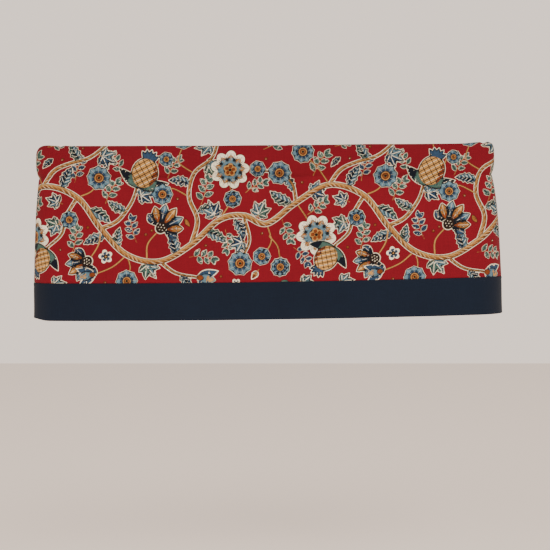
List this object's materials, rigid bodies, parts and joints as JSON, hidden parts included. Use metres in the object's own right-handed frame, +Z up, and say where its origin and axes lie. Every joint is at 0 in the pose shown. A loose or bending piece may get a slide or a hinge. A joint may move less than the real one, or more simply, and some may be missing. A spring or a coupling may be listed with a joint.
{
  "type": "window valance",
  "caption": "Straight window valance with a rod pocket along its top, ends turned back to the wall, printed cloth and a plain band along the hem.",
  "frame": {"origin": "middle of the top edge, over the centre line of the rod pocket", "axes": "+X along the window to the right as the room sees it, +Y to the wall, +Z up"},
  "size_m": [1.1513, 0.12, 0.4286],
  "materials": {
    "printed_cotton": "matt plain-weave cotton, red ground with an all-over flower print",
    "navy_cotton": "matt plain-weave cotton, dyed navy"
  },
  "bodies": {
    "root": {"face_panel": "printed_cotton", "hem_band": "navy_cotton"}
  },
  "joints": []
}
